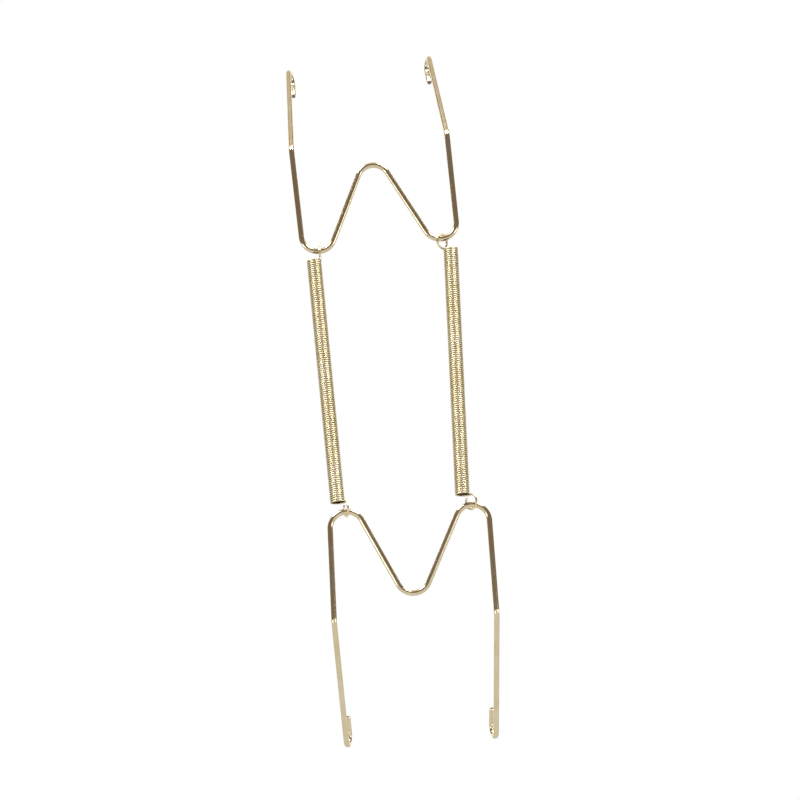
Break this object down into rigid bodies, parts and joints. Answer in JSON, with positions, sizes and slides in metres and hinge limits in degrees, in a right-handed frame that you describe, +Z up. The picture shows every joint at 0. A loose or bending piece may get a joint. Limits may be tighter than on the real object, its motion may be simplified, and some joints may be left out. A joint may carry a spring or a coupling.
{
  "type": "plate hanger",
  "caption": "Spring-loaded bent-wire hanger that grips a plate by its rim and hangs it from a nail in a wall.",
  "frame": {"origin": "the nail seat: the underside of the upper wire's apex bend, where the nail carries the hanger", "axes": "+Z up along the upper wire's middle line, +Y from the wall towards the plate's front, +X to the right as the hanger is seen from its wall side"},
  "size_m": [0.0606, 0.0381, 0.2549],
  "materials": {
    "plated_wire": "polished",
    "plated_spring": "polished"
  },
  "bodies": {
    "upper_wire": {"upper_wire": "plated_wire"},
    "springs_top": {"left_spring": "plated_spring"},
    "springs_bottom": {"right_spring": "plated_spring"},
    "lower_wire": {"lower_wire": "plated_wire"}
  },
  "joints": [
    {"name": "upper_pivot", "type": "hinge", "parent": "upper_wire", "child": "springs_top", "pos_m": [0, 0, -0.02881], "axis": [1, 0, 0], "range_deg": [-90, 90]},
    {"name": "spring_stretch", "type": "slide", "parent": "springs_top", "child": "springs_bottom", "axis": [-0.0031, 0, -1], "range_m": [0, 0.05], "stiffness_N_per_m": 730, "springref_m": -0.0136, "deforming": ["left_spring", "right_spring"]},
    {"name": "lower_pivot", "type": "hinge", "parent": "springs_bottom", "child": "lower_wire", "pos_m": [-0.0003, 0, -0.12431], "axis": [0.9988, 0, -0.0489], "range_deg": [-90, 90]}
  ]
}
